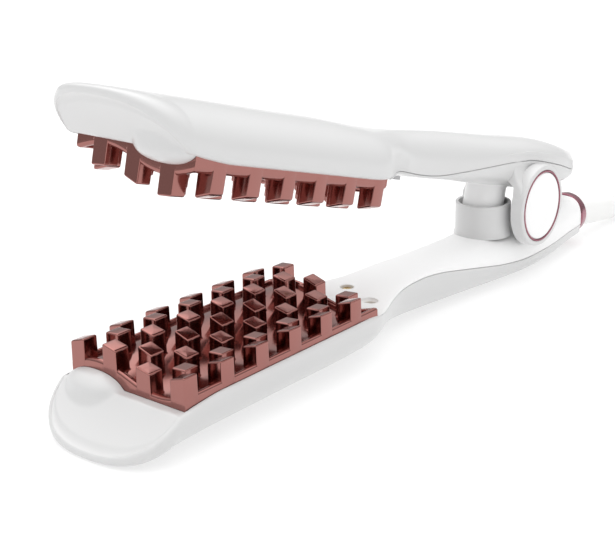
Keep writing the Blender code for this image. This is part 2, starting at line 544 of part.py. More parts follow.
def main():
    clear_scene()
    white = paint("white_plastic", (0.86, 0.86, 0.86), 0.22)
    rose = paint("rose_gold", (0.42, 0.19, 0.18), 0.28, 1.0)
    trim = paint("rose_trim", (0.45, 0.20, 0.25), 0.25, 1.0)
    gloss = paint("gloss_cap", (0.88, 0.88, 0.88), 0.08)
    brass = paint("screw_brass", (0.55, 0.42, 0.18), 0.3, 1.0)
    steel = paint("spring_steel", (0.55, 0.55, 0.56), 0.3, 1.0)
    ceramic = paint("heater_ceramic", (0.75, 0.72, 0.66), 0.6)
    shield = paint("heat_shield", (0.30, 0.26, 0.20), 0.7)
    board = paint("circuit_board", (0.05, 0.22, 0.10), 0.5)
    flex = paint("sleeve_white", (0.84, 0.84, 0.84), 0.4)
    cable = paint("cord_white", (0.82, 0.82, 0.82), 0.45)
    band = paint("tie_band", (0.75, 0.75, 0.75), 0.5)
    pins = paint("plug_pins", (0.65, 0.62, 0.55), 0.25, 1.0)
    knob = paint("switch_grey", (0.55, 0.55, 0.56), 0.4)

    rx, rz = to_world(0, 0)
    root = empty("lower_arm_frame", (rx / 1000, 0, rz / 1000), TILT)
    hinge = empty("hinge_frame", (HINGE[0] / 1000, 0, HINGE[1] / 1000), OPEN, root)
    swivel = empty("swivel_frame", (SWIVEL[0] / 1000, 0, SWIVEL[1] / 1000), SLEEVE_DIP, root)

    lower = [shell("lower_shell", white), lower_cover(white), plate("lower_plate", rose, 0)]
    lower += [box("lower_heater", (8, 66), (-13, 13), (-5.6, -3.5), ceramic),
              box("lower_shield", (5, 70), (-15, 15), (-7.4, -6.0), shield),
              box("control_board", (106, 148), (-6.0, 6.0), (-10.4, -8.8), board),
              rod("thermal_fuse", (0, 0, -9.6), "X", (76, 88), 1.7, steel, 20), spring("return_spring", steel)]
    for tag, x, y, bore in SCREWS:
        lower.append(screw(f"lower_screw_{tag}", x, y, bore, TOP_Z, brass))
    for tag, span in (("near", (-14.4, -8.3)), ("far", (8.3, 13.2))):
        lower.append(rod(f"pivot_pin_{tag}", (HINGE[0], 0, HINGE[1]), "Y", span, 1.8, steel, 24))
    lower.append(turned("rear_collar", [(COLLAR_X[0], 6.75), (COLLAR_X[0], 8.25), (COLLAR_X[1] - 0.5, 7.75),
                                        (COLLAR_X[1], 7.3), (COLLAR_X[1], 5.6), (230.0, 5.6), (230.0, 6.75)],
                        (0, 0, AXIS_Z), "X", trim, count=32))
    for obj in lower:
        seat_in(obj, root, (0, 0))

    upper = [flipped(shell("upper_shell", white, UPPER_HALF_W, 210.0)), upper_cover(white), flipped(plate("upper_plate", rose, 1)),
             flipped(box("upper_heater", (8, 66), (-13, 13), (-5.6, -3.5), ceramic)),
             flipped(box("upper_shield", (5, 70), (-15, 15), (-7.4, -6.0), shield))]
    for tag, x, y, bore in SCREWS:
        upper.append(flipped(screw(f"upper_screw_{tag}", x, y, bore, UPPER_TOP_Z, brass)))
    centre = (HINGE[0], 0, HINGE[1])
    upper.append(turned("hub_ring_near", [(-15.62, RING_R[0]), (-15.62, RING_R[1]), (-16.95, RING_R[1]),
                                          (-16.95, RING_R[0])], centre, "Y", trim, 48))
    upper.append(turned("hub_cap_near", [(-15.62, 1e-6), (-15.62, CAP_R), (-16.6, CAP_R), (-17.0, CAP_R - 0.6),
                                         (-17.4, 8.0), (-17.4, 1e-6)], centre, "Y", gloss, 40))
    for obj in upper:
        seat_in(obj, hinge, HINGE)

    switch = combine(box("power_switch", (105.3, 110.3), (-2.3, 2.3), (11.0, 15.4), knob), "UNION",
                     box("flange", (98.0, 117.6), (-4.0, 4.0), (15.0, 15.9)))
    seat_in(switch, hinge, HINGE)
    seat_in(sleeve("cord_sleeve", flex), swivel, (0, 0))
    cord_pieces(cable, band, pins)


main()
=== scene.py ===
"""Looks for the hair crimper: smooth shells, bevelled pegs, hinge, sleeve, a hank of cord, and the studio.

The arms are drawn in the arm frame, in millimetres: +X from the lips to the cord, +Z up, z = 0 at the edge of
the lower plate. The matrices LOWER and UPPER place what is drawn there into the row frame, in metres.
"""

import json
import math

import bmesh
import bpy
import numpy as np
from mathutils import Matrix, Vector


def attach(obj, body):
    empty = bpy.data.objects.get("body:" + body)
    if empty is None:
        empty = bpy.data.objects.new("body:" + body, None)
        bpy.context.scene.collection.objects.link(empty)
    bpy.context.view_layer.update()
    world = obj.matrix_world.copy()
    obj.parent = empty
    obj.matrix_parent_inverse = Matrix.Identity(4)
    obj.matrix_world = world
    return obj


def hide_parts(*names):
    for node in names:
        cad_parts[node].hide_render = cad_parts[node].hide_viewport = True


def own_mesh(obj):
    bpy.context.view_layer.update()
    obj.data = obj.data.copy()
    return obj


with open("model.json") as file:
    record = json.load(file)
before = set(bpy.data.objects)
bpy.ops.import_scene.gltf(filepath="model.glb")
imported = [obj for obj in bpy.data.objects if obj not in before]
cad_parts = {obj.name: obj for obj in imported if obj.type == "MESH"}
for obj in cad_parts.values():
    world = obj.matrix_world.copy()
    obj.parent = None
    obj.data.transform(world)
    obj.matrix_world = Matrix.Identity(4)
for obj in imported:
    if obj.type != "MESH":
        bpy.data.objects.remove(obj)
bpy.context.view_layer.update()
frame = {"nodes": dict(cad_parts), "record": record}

# ---------------------------------------------------------------- sizes, mm and degrees
ROW, STEP, ROWS = 6.0, 6.68, 7  # spacing of the peg rows, half the spacing of the pegs along a row
PEG, PEG_TOP = 2.48, 2.44  # half side of a peg at its foot and at its top
PLATE_HALF = 20.6
PLATE_X = (-2.33, 76.8)
WAVE, FLOOR, TIP = 2.17, 1.0, 7.47  # height of the plate's wave, and of its floor and peg tops above it
BAR, BAR_FOOT, BAR_TOP = 2.1, 1.3, 2.4  # the rim bars between the edge pegs: width, foot and top
GAP = 11.47  # edge to edge of the two plates when the arms are closed
OPEN, TILT = 15.5, -1.49
HINGE = (179.0, 8.2)  # x, z
MIDDLE = 130.45  # arm-frame x that ends up over the row frame's origin
FRONT_REST = (-8.0, -14.3)  # where the lip lies on the floor
AXIS_Z = -8.9  # height of the collar's axis
COVER_X, END_X = 77.3, 225.5  # where the inner covers begin, and where the arms end
SPRING_X, SPRING_LOW = 167.2, -7.6
SWITCH_X, SWITCH_LONG = 105.3, 5.0
SWIVEL, SLEEVE_DIP, SLEEVE_LONG = (229.0, -8.6), 9.4, 50.6
HULL_POWER = 2.4  # of the superellipse the arms' sections follow
# screw recesses: x, y, radius at the rim, radius at the bottom, depth, height of the rim
RECESSES = ((92.6, 2.6, 2.9, 2.1, 1.6, -0.8), (86.6, -10.6, 2.5, 2.0, 1.5, -1.6),
            (86.6, 10.6, 2.5, 2.0, 1.5, -1.6))

HALF_W = [(0, 22.0), (68, 22.0), (74, 21.8), (77.3, 21.3), (80, 20.3), (84, 18.2), (90, 15.4), (96, 12.9),
          (102, 11.1), (108, 10.4), (116, 10.1), (126, 10.1), (136, 10.6), (150, 11.3), (163, 11.8),
          (190, 11.9), (200, 11.7), (210, 10.9), (218, 9.7), (226, 8.3)]
UPPER_HALF_W = HALF_W[:-3] + [(206, 10.9), (211, 9.5), (216, 7.4), (220, 5.4), (223.5, 3.2),
                              (225.5, 1.4)]  # pointed tail
SEAM_Z = [(0, 0), (72, 0), (77, -0.4), (84, -2.3), (90, -2.8), (96, -2.8), (102, -2.5), (108, -2.2),
          (115, -2.2), (125, -3.1), (135, -4.8), (150, -7.6), (165, -10.3), (180, -11.8), (196, -11.5),
          (210, -10.6), (220, -11.0), (226, -11.4)]
MID_Z = [(0, -1.2), (70, -1.2), (77, -1.2), (84, -2.5), (90, -2.9), (96, -2.9), (102, -2.6), (108, -2.4),
         (115, -2.4), (125, -3.2), (135, -4.8), (150, -7.6), (165, -10.2), (180, -11.4), (196, -10.8),
         (210, -9.8), (226, -8.9)]
LOW_Z = [(0, -14.3), (45, -14.3), (60, -14.5), (75, -14.0), (90, -13.9), (102, -14.3), (115, -15.3),
         (133, -16.5), (150, -17.3), (167, -18.2), (180, -19.1), (190, -19.4), (200, -19.0), (210, -18.1),
         (218, -17.4), (226, -16.7)]
TOP_Z = [(76, -0.3), (90, -0.8), (115, -1.1), (150, -1.2), (165, -0.8), (180, 0.4), (190, 0.6),
         (200, 0.0), (210, -0.6), (226, -1.1)]
UPPER_TOP_Z = [(76, -0.3), (90, -0.8), (115, -1.0), (150, -1.1), (186, -1.2), (200, -3.4), (213, -6.4),
               (226, -9.4)]
DROOP = [(-5, -1.45), (-3, -1.3), (0.3, -0.8), (3, -0.55), (6, -0.25), (10, 0.0), (20, 0.0)]

ROOT = (Matrix.Scale(0.001, 4) @ Matrix.Translation((FRONT_REST[0] - MIDDLE, 0, 0))
        @ Matrix.Rotation(math.radians(TILT), 4, "Y")
        @ Matrix.Translation((-FRONT_REST[0], 0, -FRONT_REST[1])))
CLOSED_TO_OPEN = (Matrix.Translation((HINGE[0], 0, HINGE[1])) @ Matrix.Rotation(math.radians(OPEN), 4, "Y")
                  @ Matrix.Translation((-HINGE[0], 0, -HINGE[1])))
LOWER = ROOT
SLEEVE = (ROOT @ Matrix.Translation((SWIVEL[0], 0, SWIVEL[1]))
          @ Matrix.Rotation(math.radians(SLEEVE_DIP), 4, "Y"))
RAISED = ROOT @ CLOSED_TO_OPEN  # drawn as on the closed upper arm
UPPER = RAISED @ Matrix.Translation((0, 0, GAP)) @ Matrix.Rotation(math.pi, 4, "X")  # as on the lower arm


# ---------------------------------------------------------------- small tools

class Table:
    """A station table as a smooth curve: monotone between stations, then rounded over sigma mm."""

    def __init__(self, rows, sigma=2.5):
        xs, ys = (np.array(c, float) for c in zip(*rows))
        step, n = np.diff(xs), len(xs)
        slope = np.diff(ys) / step
        tangent = np.zeros(n)
        for i in range(1, n - 1):
            if slope[i - 1] * slope[i] > 0:
                a, b = 2 * step[i] + step[i - 1], step[i] + 2 * step[i - 1]
                tangent[i] = (a + b) / (a / slope[i - 1] + b / slope[i])
        tangent[0], tangent[-1] = slope[0], slope[-1]
        self.x = np.arange(xs[0] - 30, xs[-1] + 30, 0.25)
        q = np.clip(self.x, xs[0], xs[-1])
        i = np.clip(np.searchsorted(xs, q) - 1, 0, n - 2)
        t = (q - xs[i]) / step[i]
        y = ((2 * t**3 - 3 * t**2 + 1) * ys[i] + (t**3 - 2 * t**2 + t) * step[i] * tangent[i]
             + (3 * t**2 - 2 * t**3) * ys[i + 1] + (t**3 - t**2) * step[i] * tangent[i + 1])
        y = y + np.where(self.x < xs[0], (self.x - xs[0]) * tangent[0], 0)
        y = y + np.where(self.x > xs[-1], (self.x - xs[-1]) * tangent[-1], 0)
        k = np.arange(-int(4 * sigma / 0.25), int(4 * sigma / 0.25) + 1) * 0.25
        kernel = np.exp(-0.5 * (k / sigma) ** 2)
        pad = len(k) // 2
        self.y = np.convolve(np.pad(y, pad, mode="edge"), kernel / kernel.sum(), mode="valid")

    def __call__(self, x):
        return float(np.interp(x, self.x, self.y))


half_w, upper_half_w = Table(HALF_W), Table(UPPER_HALF_W, 1.5)
seam_z, mid_z, low_z = Table(SEAM_Z), Table(MID_Z, 4), Table(LOW_Z, 5)
droop = Table(DROOP, 0.8)


def wave(y):
    return WAVE * math.sin(math.pi * y / PLATE_HALF)


def sup(c, power):
    return math.copysign(abs(c) ** (2 / power), c)


def link(name, verts, faces, place=None, material=None, smooth=True, sharp=None):
    """Makes a mesh object from points in mm, welds it, turns its faces out and sets its shading."""
    mesh = bpy.data.meshes.new(name)
    mesh.from_pydata([tuple(v) for v in verts], [], [tuple(f) for f in faces])
    work = bmesh.new()
    work.from_mesh(mesh)
    bmesh.ops.remove_doubles(work, verts=work.verts, dist=1e-3)
    bmesh.ops.dissolve_degenerate(work, edges=work.edges, dist=1e-4)
    bmesh.ops.recalc_face_normals(work, faces=work.faces)
    for face in work.faces:
        face.smooth = smooth
    if sharp is not None:
        for edge in work.edges:
            edge.smooth = len(edge.link_faces) != 2 or edge.calc_face_angle() < math.radians(sharp)
    work.to_mesh(mesh)
    work.free()
    if place is not None:
        mesh.transform(place)
    obj = bpy.data.objects.new(name, mesh)
    bpy.context.scene.collection.objects.link(obj)
    if material is not None:
        mesh.materials.append(material)
    return obj


def lattice(rows, across=False, along=False):
    """Points and faces of a grid; across closes each row on itself, along joins the last row to the first."""
    n, m = len(rows), len(rows[0])
    verts = [p for row in rows for p in row]
    faces = []
    for i in range(n if along else n - 1):
        for j in range(m if across else m - 1):
            a, b = i * m + j, i * m + (j + 1) % m
            c, d = ((i + 1) % n) * m + (j + 1) % m, ((i + 1) % n) * m + j
            faces.append((a, b, c, d))
    return verts, faces


def joined(*parts):
    verts, faces = [], []
    for more_verts, more_faces in parts:
        base = len(verts)
        verts += list(more_verts)
        faces += [tuple(base + i for i in f) for f in more_faces]
    return verts, faces


def round_profile(points, radius, steps=4):
    """Rounds the corners of an open (t, r) profile; radius is one number, or one per inner corner."""
    out = [points[0]]
    for i in range(1, len(points) - 1):
        size = radius[i - 1] if isinstance(radius, (list, tuple)) else radius
        a, p, b = (Vector((*q, 0)) for q in points[i - 1:i + 2])
        u, v = a - p, b - p
        reach = min(size, 0.45 * u.length, 0.45 * v.length)
        if reach < 1e-4:
            out.append(points[i])
            continue
        start, end = p + u.normalized() * reach, p + v.normalized() * reach
        for k in range(steps + 1):
            t = k / steps
            q = start * (1 - t) ** 2 + p * (2 * t * (1 - t)) + end * t ** 2
            out.append((q.x, q.y))
    return out + [points[-1]]


def lathe(profile, centre, axis, count=96):
    """Points and faces of a (t, r) profile turned about an axis."""
    along, u, v = {"X": ((1, 0, 0), (0, 1, 0), (0, 0, 1)), "Y": ((0, 1, 0), (0, 0, 1), (1, 0, 0)),
                   "Z": ((0, 0, 1), (1, 0, 0), (0, 1, 0))}[axis]
    along, u, v, centre = Vector(along), Vector(u), Vector(v), Vector(centre)
    rows = []
    for k in range(count):
        a = 2 * math.pi * k / count
        spoke = u * math.cos(a) + v * math.sin(a)
        rows.append([tuple(centre + along * t + spoke * r) for t, r in profile])
    return lattice(rows, along=True)


# ---------------------------------------------------------------- materials

def paint(name, colour, rough, metal=0.0, coat=0.0, grain=0.0, grain_size=900.0, bump=0.0):
    """Principled material; grain varies its roughness a little and bump dents it, both procedurally."""
    material = bpy.data.materials.new(name)
    material.use_nodes = True
    nodes, links = material.node_tree.nodes, material.node_tree.links
    shader = nodes["Principled BSDF"]
    shader.inputs["Base Color"].default_value = (*colour, 1)
    shader.inputs["Roughness"].default_value = rough
    shader.inputs["Metallic"].default_value = metal
    shader.inputs["Coat Weight"].default_value = coat
    shader.inputs["Coat Roughness"].default_value = 0.08
    if grain or bump:
        place = nodes.new("ShaderNodeTexCoord")
        noise = nodes.new("ShaderNodeTexNoise")
        noise.inputs["Scale"].default_value = grain_size
        noise.inputs["Detail"].default_value = 3
        links.new(place.outputs["Object"], noise.inputs["Vector"])
        if grain:
            spread = nodes.new("ShaderNodeMapRange")
            spread.inputs["To Min"].default_value = max(0.02, rough - grain)
            spread.inputs["To Max"].default_value = rough + grain
            links.new(noise.outputs["Fac"], spread.inputs["Value"])
            links.new(spread.outputs["Result"], shader.inputs["Roughness"])
        if bump:
            dent = nodes.new("ShaderNodeBump")
            dent.inputs["Strength"].default_value = 0.3
            dent.inputs["Distance"].default_value = bump / 1000
            links.new(noise.outputs["Fac"], dent.inputs["Height"])
            links.new(dent.outputs["Normal"], shader.inputs["Normal"])
    return material


WHITE = paint("white_plastic", (0.665, 0.665, 0.665), 0.30, coat=0.15, grain=0.02, grain_size=400)
# Painted light: the white plastic again with a lighter colour that stands in for light, on the lower cover
# where the upper arm shades it and on the plunger.
PAINTED_LIT_WHITE = paint("white_plastic_painted_lighter", (0.92, 0.92, 0.92), 0.35)
CAP = paint("gloss_cap", (0.92, 0.92, 0.92), 0.12, coat=0.8, grain=0.01)
ROSE = paint("rose_gold", (0.335, 0.148, 0.132), 0.15, metal=1.0, grain=0.02, grain_size=500)
TRIM = paint("rose_trim", (0.32, 0.125, 0.16), 0.22, metal=1.0, grain=0.02)
BRASS = paint("screw_brass", (0.50, 0.36, 0.16), 0.32, metal=1.0, grain=0.05)
STEEL = paint("spring_steel", (0.50, 0.50, 0.51), 0.28, metal=1.0, grain=0.05)
CERAMIC = paint("heater_ceramic", (0.72, 0.69, 0.63), 0.6, grain=0.05, bump=0.02)
SHIELD = paint("heat_shield", (0.28, 0.24, 0.19), 0.75, grain=0.08, bump=0.03)
BOARD = paint("circuit_board", (0.04, 0.20, 0.09), 0.45, grain=0.05)
SATIN = paint("sleeve_white", (0.88, 0.88, 0.87), 0.42, grain=0.03)
CABLE = paint("cord_white", (0.76, 0.76, 0.765), 0.45, grain=0.03)
BAND = paint("tie_band", (0.70, 0.70, 0.71), 0.5, grain=0.04)
PINS = paint("plug_pins", (0.62, 0.60, 0.54), 0.22, metal=1.0, grain=0.04)
GREY = paint("switch_grey", (0.48, 0.48, 0.49), 0.4, grain=0.05, bump=0.03)
BY_SLOT = {"white_plastic": WHITE, "gloss_cap": CAP, "rose_gold": ROSE, "rose_trim": TRIM,
           "screw_brass": BRASS, "spring_steel": STEEL, "heater_ceramic": CERAMIC, "heat_shield": SHIELD,
           "circuit_board": BOARD, "sleeve_white": SATIN, "cord_white": CABLE, "tie_band": BAND,
           "plug_pins": PINS, "switch_grey": GREY}


# ---------------------------------------------------------------- outer shell with its lip

def rim_fillet(x):
    return float(np.interp(x, [60, 74, 80, 90], [1.25, 1.2, 0.45, 0.3]))


def section_edge(x, z, widths):
    """Half width of the arm's section at height z, below its widest level."""
    depth = mid_z(x) - low_z(x)
    rise = min(1.0, max(0.0, (mid_z(x) - z) / depth))
    return widths(x) * (1 - rise ** HULL_POWER) ** (1 / HULL_POWER)


def shell_profile(x, side, widths):
    """From the hidden inner wall over the rim and down to the bottom, at station x on one side."""
    fillet = min(rim_fillet(x), 0.3 * widths(x))
    top = seam_z(x) + droop(x) - (0.06 if x > 78 else 0)
    wall_z = top - fillet
    level, low = min(mid_z(x), 50), low_z(x)
    if x < 76:
        level = wall_z
    depth, half = level - low, widths(x)
    start = math.asin(min(1, max(0, (level - wall_z) / depth)) ** 1.2)
    y0 = half * sup(math.cos(start), HULL_POWER)
    points = [(x, side * max(0.1, y0 - fillet - 1.2), top - 3.2), (x, side * (y0 - fillet - 0.02), top - 3.0),
              (x, side * (y0 - fillet), top - 0.12)]
    for k in range(9):
        a = math.pi / 2 * (1 - k / 8)
        points.append((x, side * (y0 - fillet + fillet * math.cos(a)), wall_z + fillet * math.sin(a)))
    for k in range(1, 31):
        a = start + (math.pi / 2 - start) * k / 30
        points.append((x, side * half * sup(math.cos(a), HULL_POWER),
                       level - depth * sup(math.sin(a), HULL_POWER)))
    points[-1] = (x, 0.0, low)
    return points


LIP_BACK, LIP_LONG, LIP_HALF, LIP_SLOPE = -4.7, 13.5, 20.75, 0.772
FACE_BACK = -2.45  # where the lip's face ends, under the plate's front edge


def lip_plane(x):
    return -1.2 + LIP_SLOPE * (x - LIP_BACK)


def lip_profile(a):
    """Over the rim and down to the bottom at angle a round the lip: 0 far side, pi/2 tip, pi near side."""
    c, s = math.cos(a), math.sin(a)
    y, x = LIP_HALF * sup(c, HULL_POWER), LIP_BACK - LIP_LONG * sup(s, HULL_POWER)
    lean = 2 / HULL_POWER
    slope_y = lean * LIP_HALF * abs(c) ** (lean - 1) * abs(s) if abs(c) > 1e-9 else 1.0
    slope_x = lean * LIP_LONG * abs(s) ** (lean - 1) * abs(c) if abs(s) > 1e-9 else 0.0
    if abs(c) <= 1e-9:
        slope_x, slope_y = 0.0, 1.0
    if abs(s) <= 1e-9:
        slope_x, slope_y = 1.0, 0.0
    size = math.hypot(slope_x, slope_y)
    nx, ny = -slope_y / size, math.copysign(slope_x / size, c)
    fillet = 1.25 + 0.19 * s
    tilt = -math.atan(LIP_SLOPE * abs(nx))
    z = min(lip_plane(x), -1.45)
    cx, cy = x + nx * fillet * math.sin(tilt), y + ny * fillet * math.sin(tilt)
    cz = z - fillet * math.cos(tilt)
    points = []
    for k in range(9):
        b = tilt + (-math.pi / 2 - tilt) * k / 8
        points.append((cx - nx * fillet * math.sin(b), cy - ny * fillet * math.sin(b),
                       cz + fillet * math.cos(b)))
    ox, oy, oz = points[-1]
    end_x = LIP_BACK - 5.5 * s
    low = FRONT_REST[1] + 0.03 * max(0, FRONT_REST[0] - end_x)
    power = HULL_POWER + 1.1 * s ** 2
    for k in range(1, 31):
        b = math.pi / 2 * k / 30
        out, down = sup(math.cos(b), power), sup(math.sin(b), power)
        points.append((end_x + (ox - end_x) * out, oy * out, oz - (oz - low) * down))
    points[-1] = (end_x, 0.0, low)
    return points


def soft_min(a, b, k):
    h = max(0.0, min(1.0, 0.5 + 0.5 * (b - a) / k))
    return b * (1 - h) + a * h - k * h * (1 - h)


def lip_face(x, y):
    """Height of the lip's face: a shallow spoon, a level ledge by the plate, and the nose on the far half."""
    reach = min(1.0, max(0.0, (LIP_BACK - x) / LIP_LONG))
    spoon = lip_plane(x) - 0.55 * math.sin(math.pi * reach) * (1 - (y / 22) ** 2)
    face = soft_min(spoon, -1.5, 0.5)
    dx, dy = (x + 2.33) / 6.1, (y - 11.0) / 10.0
    dome = 1 - dx * dx - abs(dy) ** 2.2
    nose = -2.6 + 4.4 * math.sqrt(dome) if dome > 0 else -2.6 + 4.4 * dome * 1.5
    return -soft_min(-face, -nose, 0.45)


def shell(name, place, widths):
    """One arm's outer half: hull, rim, lip and nose, closed over the hidden inside."""
    stations = [*np.arange(-3.6, 70, 1.6), *np.arange(70, 100, 0.7), *np.arange(100, 212, 1.5),
                *np.linspace(212, END_X, 20)]
    sides = [[shell_profile(x, side, widths) for x in stations] for side in (1, -1)]
    far = [row[3:] for row in reversed(sides[0])]
    front = [lip_profile(a) for a in np.linspace(0, math.pi, 121)]
    near = [row[3:] for row in sides[1]]
    hull = lattice(far + front + near)
    # inside the rim, beside and behind the plate
    inner, inner_near = ([[row[k] for k in (3, 2, 1, 0)] for row in rows] for rows in sides)
    floor = [[a[0], b[0]] for a, b in zip(*sides)]
    # the lip's face runs from the rim back to the plate
    face = []
    for profile in front:
        x0, y0, z0 = profile[0]
        row = []
        for k in range(41):
            t = k / 40
            x = x0 + (FACE_BACK - x0) * t
            y = y0 * (1 - 0.012 * t)
            edge = min(1.0, t * 6)
            z = lip_face(x, y) * edge + (z0 * (1 - edge))
            row.append((x, y, z))
        row.append((FACE_BACK, row[-1][1], -4.6))
        face.append(row)
    ends = [lattice([edge, [(END_X, 0.0, seam_z(END_X)) for _ in edge]]) for edge in (far[0], near[-1])]
    verts, faces = joined(hull, lattice(inner), lattice(inner_near), lattice(floor), lattice(face), *ends)
    return link(name, verts, faces, place, WHITE, sharp=40)


# ---------------------------------------------------------------- inner covers

def cover_profile(x, tops, widths, power=3.0):
    """Across the inner cover from seam to seam over the top, with a fine rounded edge at each seam."""
    seam = seam_z(x) + 0.06
    top = max(tops(x), seam + 0.35)
    half = section_edge(x, seam_z(x), widths) - 0.05
    edge = min(0.3, 0.45 * (top - seam))
    points = [(x, max(0.05, half - 0.9), seam - 0.6), (x, half - edge, seam)]
    for k in range(1, 5):
        a = math.pi / 2 * k / 4
        points.append((x, half - edge + edge * math.sin(a), seam + edge * (1 - math.cos(a))))
    z0 = seam + edge
    for k in range(1, 25):
        a = math.pi / 2 * k / 24
        points.append((x, half * sup(math.cos(a), power), z0 + (top - z0) * sup(math.sin(a), power)))
    points[-1] = (x, 0.0, top)
    return points + [(x, -y, z) for x, y, z in reversed(points[:-1])]


def cover(name, place, tops, widths, material):
    """Inner cover as a smooth solid; the screw recesses are cut from it."""
    stations = [*np.arange(COVER_X, 100, 0.7), *np.arange(100, END_X, 1.5), END_X]
    rows = [cover_profile(x, tops, widths) for x in stations]
    first = [(x + 0.25, y * 0.988, z - 0.22) for x, y, z in rows[0]]
    rows[0] = [(x - 0.05, y * 0.988, z - 0.25) for x, y, z in rows[0]]
    rows.insert(0, [(x - 0.25, y * 0.98, z - 2.6) for x, y, z in first])
    verts, faces = lattice(rows, across=True)
    m = len(rows[0])
    faces += [tuple(range(m)), tuple((len(rows) - 1) * m + j for j in range(m))]
    body = link(name, verts, faces, None, material, sharp=50)
    for x, y, wide, narrow, depth, rim in RECESSES:
        top = tops(x) + 2
        profile = [(rim - depth, 0.0), (rim - depth, narrow), (rim - 0.25, narrow + 0.05), (rim + 0.15, wide),
                   (top + 3, wide + 1.4), (top + 3, 0.0)]
        verts, faces = lathe(profile, (x, y, 0), "Z", 48)
        trim(body, link("cutter", verts, faces, None, material))
    shade(body, 35)
    body.data.transform(place)
    return body


def trim(body, cutter):
    """Cuts the cutter out of the body, and removes the cutter."""
    mod = body.modifiers.new("cut", "BOOLEAN")
    mod.operation, mod.solver, mod.object = "DIFFERENCE", "EXACT", cutter
    bpy.context.view_layer.update()
    baked = bpy.data.meshes.new_from_object(body.evaluated_get(bpy.context.evaluated_depsgraph_get()))
    body.modifiers.clear()
    old, body.data = body.data, baked
    bpy.data.meshes.remove(old)
    bpy.data.objects.remove(cutter, do_unlink=True)


def shade(obj, angle):
    """Smooth shading, with sharp edges where faces meet at more than the angle."""
    work = bmesh.new()
    work.from_mesh(obj.data)
    for face in work.faces:
        face.smooth = True
    for edge in work.edges:
        edge.smooth = len(edge.link_faces) != 2 or edge.calc_face_angle(0) < math.radians(angle)
    work.to_mesh(obj.data)
    work.free()


# ---------------------------------------------------------------- pegged plates

def peg(x, y, foot, top):
    """One square peg with rounded edges and a small fillet at its foot; edge pegs reach the plate's side."""
    past = PLATE_HALF - abs(y) - PEG + 0.03 if abs(y) > 2.5 * ROW else 0.0

    def ring(half, round_by, height, lean=1.0):
        out = []
        for cx, cy, turn in ((1, 1, 0), (-1, 1, 1), (-1, -1, 2), (1, -1, 3)):
            for k in range(5):
                a = math.pi / 2 * (turn + k / 4)
                px = cx * (half - round_by) + round_by * math.cos(a)
                py = cy * (half - round_by) + round_by * math.sin(a)
                if py * y > 0:
                    py += math.copysign(past * lean, y)
                out.append((max(x + px, PLATE_X[0] - 0.03), y + py, height(y + py)))
        return out
    rows = [ring(PEG, 0.45, lambda q: foot(q) - 1.2)]
    if not past:
        rows += [ring(PEG + 0.32, 0.7, lambda q: foot(q) - 0.04),
                 ring(PEG + 0.12, 0.5, lambda q: foot(q) + 0.12)]
    rows.append(ring(PEG, 0.42, lambda q: foot(q) + 0.45))
    for k in range(7):
        a = math.pi / 2 * k / 6
        inset = 0.5 * (1 - math.cos(a))
        rows.append(ring(PEG_TOP - inset, max(0.15, 0.45 - inset * 0.5),
                         lambda q, lift=0.5 * (1 - math.sin(a)): top(q) - lift, 1 - 1.6 * (1 - math.cos(a))))
    centre = (x, y, top(y) + 0.02)
    verts, faces = lattice(rows, across=True)
    base = (len(rows) - 1) * 20
    verts.append(centre)
    faces += [(base + j, base + (j + 1) % 20, len(verts) - 1) for j in range(20)]
    faces.append(tuple(reversed(range(20))))
    return verts, faces


def rim_bar(d):
    """Height of the rounded bar at distance d in from the plate's edge; the floor is lower."""
    return BAR_FOOT + (BAR_TOP - BAR_FOOT) * math.sqrt(max(0.0, 1 - (2 * d / BAR - 1) ** 2))


def plate(name, place, first):
    """Wave-shaped base with a rounded bar along each edge, and its staggered pegs."""
    x0, x1 = PLATE_X
    bar = [BAR / 2 * (1 - math.cos(math.pi * k / 10)) for k in range(11)]
    across = [d - PLATE_HALF for d in bar] + [-PLATE_HALF + BAR + 0.01]
    inside = PLATE_HALF - BAR - 0.5
    across += [*np.linspace(-inside, inside, 57), *(-y for y in reversed(across))]
    along = [x0 + d for d in bar] + [x0 + BAR + 0.01]
    along += list(np.linspace(x0 + BAR + 0.8, x1 - BAR - 0.8, 40)) + [x0 + x1 - x for x in reversed(along)]
    low = -2.4
    rows = []
    for x in along:
        row = []
        for y in across:
            d = min(x - x0, x1 - x, y + PLATE_HALF, PLATE_HALF - y)
            row.append((x, y, wave(y) + (rim_bar(d) if d <= BAR else FLOOR)))
        rows.append([(x, across[0], low)] + row + [(x, across[-1], low)])
    rows.insert(0, [(x, y, low) for x, y, z in rows[0]])
    rows.append([(x, y, low) for x, y, z in rows[-1]])
    parts = [lattice(rows)]
    for row in range(ROWS):
        y = (row - 3) * ROW
        for k in range(6):
            parts.append(peg((2 * k + (first + row) % 2) * STEP, y, lambda q: FLOOR + wave(q),
                             lambda q: TIP + wave(q)))
    verts, faces = joined(*parts)
    return link(name, verts, faces, place, ROSE, sharp=45)


# ---------------------------------------------------------------- hinge, cup and plunger

def cup(name, place):
    """Round cup on the lower cover that guides the spring, flared into the cover at its foot."""
    wall = round_profile([(-8.6, 8.4), (10.1, 8.4), (10.1, 9.6), (0.2, 9.6), (-1.4, 10.1)],
                         [0.35, 0.35, 0.8], 5)
    verts, faces = lathe([(-9.0, 0.05)] + wall, (SPRING_X, 0, 0), "Z", 128)
    return link(name, verts, faces, place, WHITE, sharp=50)


def plunger(name, place):
    """Tube on the upper cover that slides into the cup; drawn as on the closed arm."""
    profile = round_profile([(12.9, 6.0), (1.0, 6.0), (1.0, 7.12), (12.4, 6.92), (13.6, 7.6)],
                            [0.3, 0.3, 0.6])
    verts, faces = lathe(profile, (SPRING_X + 0.2, 0, 0), "Z")
    # Painted light: the plunger is white plastic drawn in the lighter copy, which stands in for light falling
    # on it.
    return link(name, verts, faces, place, PAINTED_LIT_WHITE, sharp=50)


